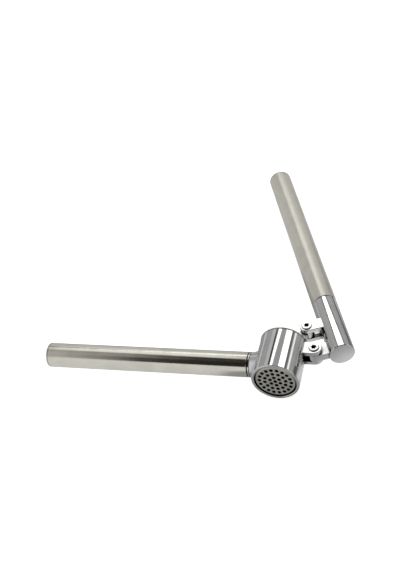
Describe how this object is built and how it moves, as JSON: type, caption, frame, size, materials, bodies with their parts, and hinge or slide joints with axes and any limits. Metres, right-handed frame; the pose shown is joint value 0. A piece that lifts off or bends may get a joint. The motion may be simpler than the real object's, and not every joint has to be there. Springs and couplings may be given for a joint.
{
  "type": "garlic press",
  "caption": "Hand press with two round tubular handles, a perforated round chamber and a hinged plunger that pushes soft food through the sieve.",
  "frame": {"origin": "where the chamber's axis crosses the lower handle's axis, midway between the two sides of the press", "axes": "+Y along the chamber from the sieve to the mouth, -X along the lower handle to its free end, +Z along both pivot pins, up when the press lies on its side"},
  "size_m": [0.2014, 0.2062, 0.0306],
  "materials": {
    "chrome_casting": "mirror chrome on zinc casting",
    "polished_collar": "polished",
    "stainless_tube": "polished with a fine drawn grain",
    "satin_stainless": "satin",
    "fastener_steel": "polished"
  },
  "bodies": {
    "base": {"press_body": "chrome_casting", "sieve_cup": "satin_stainless", "lower_handle_collar": "polished_collar", "lower_handle_tube": "stainless_tube", "lower_handle_cap": "stainless_tube", "main_pivot_bolt": "fastener_steel", "main_pivot_cap_screw": "fastener_steel"},
    "lever": {"lever_head": "chrome_casting", "upper_handle_tube": "stainless_tube", "upper_handle_cap": "stainless_tube", "plunger_pivot_bolt": "fastener_steel", "plunger_pivot_cap_screw": "fastener_steel"},
    "plunger": {"plunger_arm": "chrome_casting", "plunger_disc": "satin_stainless", "plunger_screw": "fastener_steel"}
  },
  "joints": [
    {"name": "lever_pivot", "type": "hinge", "parent": "base", "child": "lever", "pos_m": [0.0205, 0.0119, 0], "axis": [0, 0, 1], "range_deg": [-5, 67.87]},
    {"name": "plunger_pivot", "type": "hinge", "parent": "lever", "child": "plunger", "pos_m": [0.01304, 0.03024, 0], "axis": [0, 0, 1], "range_deg": [-36, 2.7]}
  ],
  "couplings": [
    {"joint": "plunger_pivot", "follows": "lever_pivot", "ratio": -0.53}
  ]
}
